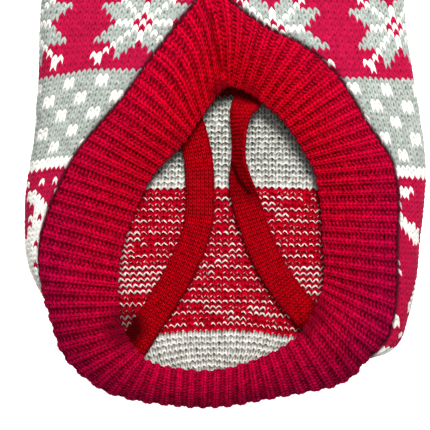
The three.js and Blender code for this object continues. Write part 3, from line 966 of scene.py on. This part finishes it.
# How far the ribs left of the crease bulge towards it, and how far along the band they do, in places
BULGE = 0.36
BULGE_PLACE = 1.5
BULGE_SPAN = 1.6
# How dark the painted shade of the crease and the spots of shade are on the band
CREASE_SHADE = 0.8
SPOT_SHADE = 0.85
# How much of the band's darker, more magenta red of painted shade and sheen its outer edge and its
# hem end take, and how far up it reaches
OUTER_SHADE_SHEEN = 0.36
LOW_SHADE_SHEEN = 0.7
SHADE_SHEEN_REACH = 190


def from_crease(points):
    """How near each point is to the crease, from 0 to 1."""
    away = np.abs(polyline_distance(points[..., 0], points[..., 1], CREASE))
    return ease(1 - away / CREASE_REACH)


def bulged(curve, places):
    """Draws the ribs beside the crease sideways along the band, most at the middle of its width."""
    steps = np.linspace(0, 1, len(curve))
    from_top = np.where(places > BAND_ROWS / 2, places - BAND_ROWS, places)
    near = np.exp(-(((from_top - BULGE_PLACE) / BULGE_SPAN) ** 2))
    result = np.empty_like(curve)
    for step, row, line in zip(steps, result, curve):
        wanted = from_top - BULGE * near * math.sin(math.pi * step)
        order = np.argsort(from_top)
        for k in range(3):
            row[:, k] = np.interp(wanted, from_top[order], line[order, k])
    return result


def rear_band():
    shares = rib_places(BAND_RIBS)
    even = np.r_[even_places(720), BAND_ROWS]
    places = np.interp(shares, np.linspace(0, 1, 721), even)
    places = places + wobble(places.shape, 71, 0.012) * (shares < 0.999)
    curve, normals = band_curve(places)
    curve, normals = bulged(curve, places), unit(bulged(normals, places))
    curve = curve - normals * (CREASE_DEPTH * from_crease(curve))[..., None]
    path, directions = wall_profile(curve, normals, RIB_THICKNESS)
    counts = (BAND_RIBS, 2 * BAND_COURSES)

    def crease_shade(points):
        crease = CREASE_SHADE * from_crease(points) ** 3
        return np.maximum(crease, SPOT_SHADE * spots_of_shade(points))

    piece, shares, points = ribbed("rear_band_knit", path, directions, counts, BAND_YARN, crease_shade)
    # Painted shade and sheen: the outer part and the lower end take the darker, more magenta red
    outer = 1 - ease(shares * 2 / 0.8)
    low = 1 - ease(points[:, 1] / SHADE_SHEEN_REACH)
    store(piece, "second", OUTER_SHADE_SHEEN * outer + LOW_SHADE_SHEEN * low)
    return piece


def tube(name, ring_start, ring_end, ribs, courses, inside):
    """A ribbed tube between two rings of points, open at both ends. Inside is 1 where going round
    and then along points inwards."""
    angles = rib_places(ribs) * 2 * math.pi
    start, end = ring_start(angles), ring_end(angles)
    steps = np.linspace(0, 1, 6)[:, None, None]
    curve = start * (1 - steps) + end * steps
    round_way = np.roll(curve, -1, axis=1) - np.roll(curve, 1, axis=1)
    normals = unit(np.cross(round_way, end - start)) * -inside
    path, directions = wall_profile(curve, normals, RIB_THICKNESS)
    piece, shares, _ = ribbed(name, path, directions, (ribs, courses), BAND_YARN)
    store(piece, "second", 0.3 + 0 * shares)
    return piece


def collar():
    def start(angle):
        across = np.sign(np.sin(angle)) * np.arcsin(np.abs(np.sin(angle))) / (math.pi / 2)
        points = [body_point(face, across, neck_up(face, across)) for face in ("back", "belly")]
        return np.where(np.cos(angle)[:, None] > 0, points[0], points[1])

    def end(angle):
        share = np.arcsin(np.abs(np.sin(angle))) / (math.pi / 2)
        flat = COLLAR_HALF_WIDTH - COLLAR_HALF_HEIGHT
        fold = COLLAR_HALF_HEIGHT * (math.pi / 2)
        along = share * (flat + fold)
        bend = np.maximum(0, along - flat) / fold * (math.pi / 2)
        x = np.minimum(along, flat) + COLLAR_HALF_HEIGHT * np.sin(bend)
        z = COLLAR_HALF_HEIGHT * (1 - np.sign(np.cos(angle)) * np.cos(bend))
        return vec(np.sign(np.sin(angle)) * x, COLLAR_TOP_UP, z)

    return tube("collar_knit", start, end, COLLAR_RIBS, 2 * COLLAR_COURSES, 1)


def cuff(name, side):
    low, high = ARMHOLE["up"][0], ARMHOLE["up"][-1]

    def start(angle):
        up = mix(low, high, 0.5 + 0.5 * np.cos(angle))
        across = side * (1 - np.interp(up, ARMHOLE["up"], ARMHOLE["cut"]))
        points = [body_point(face, across, up) for face in ("belly", "back")]
        return np.where(np.sin(angle)[:, None] > 0, points[0], points[1])

    def end(angle):
        up = CUFF_HALF * np.cos(angle)
        z = CUFF_HALF_HEIGHT * np.sign(np.sin(angle)) * np.abs(np.sin(angle)) ** 0.7
        return vec(side * CUFF_REACH, CUFF_UP + up, CUFF_HALF_HEIGHT + z)

    return tube(name, start, end, CUFF_RIBS, 2 * CUFF_COURSES, -side)


# Straps


STRAP_WALES = 16
STRAP_COURSE_LENGTH = 1.95
STRAP_RELIEF = 0.8
STRAP_CROWN = 0.7
STRAP_NARROWING = 0.05

def strap(name, rows):
    """A flat knitted tube along a strap's centre line."""
    count = len(rows["x"])
    fine = np.linspace(0, count - 1, 400)
    line = smooth_row(rows, fine, False)
    centres = vec(line["x"], line["up"], line["height"])
    lengths = np.r_[0, np.cumsum(np.linalg.norm(np.diff(centres, axis=0), axis=1))]
    courses = int(lengths[-1] / STRAP_COURSE_LENGTH)
    u, v, height, painted_shade = grid(PLAIN_LIGHT, STRAP_WALES, courses)
    places = np.interp(v / courses * lengths[-1], lengths, fine)
    row = smooth_row(rows, places, False)
    ahead = smooth_row(rows, np.clip(places + 0.05, 0, count - 1), False)
    behind = smooth_row(rows, np.clip(places - 0.05, 0, count - 1), False)
    centre = vec(row["x"], row["up"], row["height"])
    way = unit(vec(*(ahead[k] - behind[k] for k in ("x", "up", "height"))))
    level = unit(vec(way[..., 1], -way[..., 0], 0))
    roll = np.radians(row["roll"])[..., None]
    over = level * np.cos(roll) + np.cross(way, level) * np.sin(roll)
    normal = unit(np.cross(over, way))
    # Round a loop with straight sides and round ends
    straight = STRAP_WIDTH - STRAP_THICKNESS
    half = STRAP_THICKNESS / 2
    whole = 2 * straight + 2 * math.pi * half
    s = (u / STRAP_WALES * whole)[None, :] % whole
    top = s < straight
    first_end = (s >= straight) & (s < straight + math.pi * half)
    bottom = (s >= straight + math.pi * half) & (s < 2 * straight + math.pi * half)
    a1 = (s - straight) / half
    a2 = (s - 2 * straight - math.pi * half) / half
    x = np.select(
        [top, first_end, bottom],
        [s - straight / 2, straight / 2 + half * np.sin(a1), straight * 1.5 + math.pi * half - s],
        -straight / 2 - half * np.sin(a2),
    )
    z = np.select([top, first_end, bottom], [half, half * np.cos(a1), -half], -half * np.cos(a2))
    nx = np.select([top, first_end, bottom], [0, np.sin(a1), 0], -np.sin(a2))
    nz = np.select([top, first_end, bottom], [1, np.cos(a1), -1], -np.cos(a2))
    out = (height - 1) * STRAP_RELIEF + wobble(v.shape, 9, 0.12)
    z = z + STRAP_CROWN * (1 - (2 * x / STRAP_WIDTH) ** 2)
    x = x * (1 - STRAP_NARROWING)
    points = centre + over * (x + nx * out)[..., None] + normal * (z + nz * out)[..., None]
    keep = np.ones((courses, STRAP_WALES), dtype=bool)
    cell = cell_of(PLAIN_LIGHT)
    piece, used = build_mesh(name, points, cell, (courses, STRAP_WALES), one_yarn, keep, True)
    # Painted shade: the strap's rolled edges, the crease of its twist, the band's shade and the patches,
    # and the holes between stitches
    rolled_edge_shade = 0.35 * ease((np.abs(x) / STRAP_WIDTH * 2 - 0.55) / 0.4)
    twist = np.abs(polyline_distance(points[..., 0], points[..., 1], TWIST))
    crease = 0.85 * ease(1.3 * (1 - twist / TWIST_REACH))
    dark = np.maximum(np.maximum(rolled_edge_shade, crease), patchy_shade(points))
    hole_shade = painted_shade * (2.9 + wobble(v.shape, 14, 0.7))
    store(piece, "painted_shade", np.maximum(hole_shade, dark).reshape(-1)[used])
    finish_piece(piece, STRAP_YARN)
    return piece


# Materials


def node(tree, kind, **settings):
    """A shader node with some of its sockets or properties set."""
    made = tree.nodes.new(kind)
    for name, value in settings.items():
        if name in made.inputs:
            made.inputs[name].default_value = value
        else:
            setattr(made, name, value)
    return made


def spread(tree, value, low, high):
    """Maps a noise, which stays mostly between 0.3 and 0.7, to a range of factors."""
    limits = {"From Min": 0.3, "From Max": 0.7, "To Min": low, "To Max": high}
    mapped = node(tree, "ShaderNodeMapRange", **limits)
    tree.links.new(value, mapped.inputs["Value"])
    return mapped.outputs["Result"]


def blended(tree, factor, first, second):
    """One colour, or another by a factor. Each is a colour or a socket."""
    mixed = node(tree, "ShaderNodeMix", data_type="RGBA")
    tree.links.new(factor, mixed.inputs["Factor"])
    for socket, colour in ((mixed.inputs[6], first), (mixed.inputs[7], second)):
        if isinstance(colour, tuple):
            socket.default_value = (*colour, 1)
        else:
            tree.links.new(colour, socket)
    return mixed.outputs[2]


def scaled(tree, colour, amount):
    """A colour made brighter or darker. The amount is a number or a socket."""
    made = node(tree, "ShaderNodeVectorMath", operation="SCALE")
    tree.links.new(colour, made.inputs[0])
    if isinstance(amount, float):
        made.inputs["Scale"].default_value = amount
    else:
        tree.links.new(amount, made.inputs["Scale"])
    return made.outputs["Vector"]


def yarn(name, colour, second, shade_scale, sheen, fuzz):
    """Spun acrylic yarn: its colour, the second one that it takes where its piece says so, how dark
    its painted shade is, and the colour and amount of light that its fuzz catches."""
    material = bpy.data.materials.new(name)
    material.use_nodes = True
    tree = material.node_tree
    shader = tree.nodes["Principled BSDF"]
    shader.inputs["Roughness"].default_value = 0.92
    shader.inputs["Specular IOR Level"].default_value = 0.02
    shader.inputs["Sheen Weight"].default_value = fuzz
    shader.inputs["Sheen Roughness"].default_value = 0.5
    shader.inputs["Sheen Tint"].default_value = (*sheen, 1)

    place = node(tree, "ShaderNodeTexCoord").outputs["Object"]
    patches = node(tree, "ShaderNodeTexNoise", Scale=320, Detail=3)
    fibres = node(tree, "ShaderNodeTexNoise", Scale=1900, Detail=4)
    for noise in (patches, fibres):
        tree.links.new(place, noise.inputs["Vector"])
    tone = node(tree, "ShaderNodeMath", operation="MULTIPLY")
    tree.links.new(spread(tree, patches.outputs["Fac"], 0.8, 1.18), tone.inputs[0])
    tree.links.new(spread(tree, fibres.outputs["Fac"], 0.8, 1.2), tone.inputs[1])
    # Painted shade: each piece stores how deep in shade each point lies, and the colour darkens by it
    painted_shade = node(tree, "ShaderNodeAttribute", attribute_name="painted_shade").outputs["Fac"]
    share = node(tree, "ShaderNodeAttribute", attribute_name="second").outputs["Fac"]
    top = blended(tree, share, colour, second)
    shaded_colour = blended(tree, painted_shade, top, scaled(tree, top, shade_scale))
    tree.links.new(scaled(tree, shaded_colour, tone.outputs["Value"]), shader.inputs["Base Color"])
    bump = node(tree, "ShaderNodeBump", Strength=0.6, Distance=0.0004)
    tree.links.new(fibres.outputs["Fac"], bump.inputs["Height"])
    tree.links.new(bump.outputs["Normal"], shader.inputs["Normal"])
    return material


def finish_piece(piece, materials):
    """Gives a piece its yarns and makes it ride with the garment."""
    for material in materials:
        piece.data.materials.append(material)
    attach(piece, "root")


WHITE_SHEEN = (1, 1, 1)
RED_SHEEN = (1, 0.03, 0.08)
# Colours: the yarns', the seams' red in painted shade, and the band's red in painted shade and sheen
SEAM_RED_IN_SHADE = (0.13, 0.006, 0.025)
# One red yarn makes both faces: the outside's copy is pinker, a painted sheen of its fuzz catching the
# light
RED_OUTSIDE = (0.455, 0.006, 0.05)
RED_INSIDE = (0.56, 0.0006, 0.015)
WHITE_OUTSIDE = (0.86, 0.85, 0.8)
WHITE_INSIDE = (0.86, 0.84, 0.78)
GREY_OUTSIDE = (0.42, 0.465, 0.43)
GREY_INSIDE = (0.72, 0.745, 0.68)
PALE_INSIDE = (0.84, 0.83, 0.76)
BAND_RED = (0.79, 0.0003, 0.01)
BAND_SHADE_SHEEN_RED = (0.46, 0.0006, 0.058)
STRAP_RED = (0.58, 0.0002, 0.007)

OUTSIDE_YARNS = [
    yarn("red_wool", RED_OUTSIDE, SEAM_RED_IN_SHADE, 0.3, (1, 0.32, 0.45), 0.13),
    yarn("white_wool", WHITE_OUTSIDE, SEAM_RED_IN_SHADE, 0.55, WHITE_SHEEN, 0.2),
    yarn("grey_wool", GREY_OUTSIDE, SEAM_RED_IN_SHADE, 0.12, WHITE_SHEEN, 0.15),
]
INSIDE_YARNS = [
    yarn("red_wool_inside", RED_INSIDE, RED_INSIDE, 0.18, RED_SHEEN, 0.05),
    yarn("white_wool_inside", WHITE_INSIDE, WHITE_INSIDE, 0.12, WHITE_SHEEN, 0.1),
    yarn("grey_wool_inside", GREY_INSIDE, GREY_INSIDE, 0.035, WHITE_SHEEN, 0.05),
    yarn("pale_wool_inside", PALE_INSIDE, PALE_INSIDE, 0.06, WHITE_SHEEN, 0.1),
]
BAND_YARN = [yarn("band_wool", BAND_RED, BAND_SHADE_SHEEN_RED, 0.03, RED_SHEEN, 0.1)]
STRAP_YARN = [yarn("strap_wool", STRAP_RED, STRAP_RED, 0.02, RED_SHEEN, 0.03)]


# The garment

FACE_RELIEF = 0.9
REVERSE_RELIEF = 0.95


def dressed_panel(solid, face, stitch):
    """Both faces of a panel's cloth, which stand for its solid."""
    outside = panel(
        solid + "_face", face, stitch, PANEL_ROWS, FACE_RELIEF, (0.0, 1), face_yarns
    )
    inside = panel(
        solid + "_reverse", face, REVERSE, REVERSE_ROWS, REVERSE_RELIEF, (PANEL_THICKNESS, -1),
        reverse_yarns,
    )
    for layer, yarns in ((outside, OUTSIDE_YARNS), (inside, INSIDE_YARNS)):
        finish_piece(layer, yarns)
        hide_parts(solid)
    return outside, inside


back, back_inside = dressed_panel("back_panel", "back", PLAIN_LIGHT)
belly, belly_inside = dressed_panel("belly_panel", "belly", PLAIN)
band = rear_band()
left_strap = strap("leg_strap_left_knit", LEFT_STRAP)
right_strap = strap("leg_strap_right_knit", RIGHT_STRAP)
neck = collar()
left_cuff = cuff("cuff_left_knit", -1)
right_cuff = cuff("cuff_right_knit", 1)
for piece, solid, slot in [
    (band, "rear_band", "red_rib"),
    (left_strap, "leg_strap_left", "red_jersey"),
    (right_strap, "leg_strap_right", "red_jersey"),
    (neck, "collar", "red_rib"),
    (left_cuff, "cuff_left", "red_rib"),
    (right_cuff, "cuff_right", "red_rib"),
]:
    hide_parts(solid)


# The floor, lights and camera


def floor():
    bpy.ops.mesh.primitive_plane_add(size=6, location=(0, 0, -0.0004))
    plane = bpy.context.object
    plane.name = "floor"
    material = bpy.data.materials.new("pale_floor")
    material.use_nodes = True
    shader = material.node_tree.nodes["Principled BSDF"]
    shader.inputs["Base Color"].default_value = (0.92, 0.92, 0.92, 1)
    shader.inputs["Roughness"].default_value = 0.9
    shader.inputs["Emission Color"].default_value = (1, 1, 1, 1)
    shader.inputs["Emission Strength"].default_value = 1.0
    plane.data.materials.append(material)


def area_light(name, place, aim, size, power, colour):
    data = bpy.data.lights.new(name, "AREA")
    data.size = size
    data.energy = power
    data.color = colour
    light = bpy.data.objects.new(name, data)
    light.location = place
    direction = np.array(aim) - np.array(place)
    light.rotation_euler = Vector(direction).to_track_quat("-Z", "Y").to_euler()
    bpy.context.scene.collection.objects.link(light)


PHOTO_CENTRE = (-0.005, (97 + HEM_Y) * MM)
CAMERA_HEIGHT = 1.2
VIEW_WIDTH = 0.215
SENSOR = 36.0


def camera():
    data = bpy.data.cameras.new("camera")
    data.sensor_width = SENSOR
    data.lens = SENSOR * CAMERA_HEIGHT / VIEW_WIDTH
    eye = bpy.data.objects.new("camera", data)
    eye.location = (*PHOTO_CENTRE, CAMERA_HEIGHT)
    bpy.context.scene.collection.objects.link(eye)
    bpy.context.scene.camera = eye


def world():
    sky = bpy.data.worlds.new("studio")
    sky.use_nodes = True
    background = sky.node_tree.nodes["Background"]
    background.inputs["Color"].default_value = (1, 1, 1, 1)
    background.inputs["Strength"].default_value = 0.42
    bpy.context.scene.world = sky


floor()
camera()
world()
area_light("key", (0.15, 0.5, 0.75), (0, -0.08, 0), 0.35, 14, (1, 0.99, 0.97))
bpy.context.scene.view_settings.view_transform = "Standard"
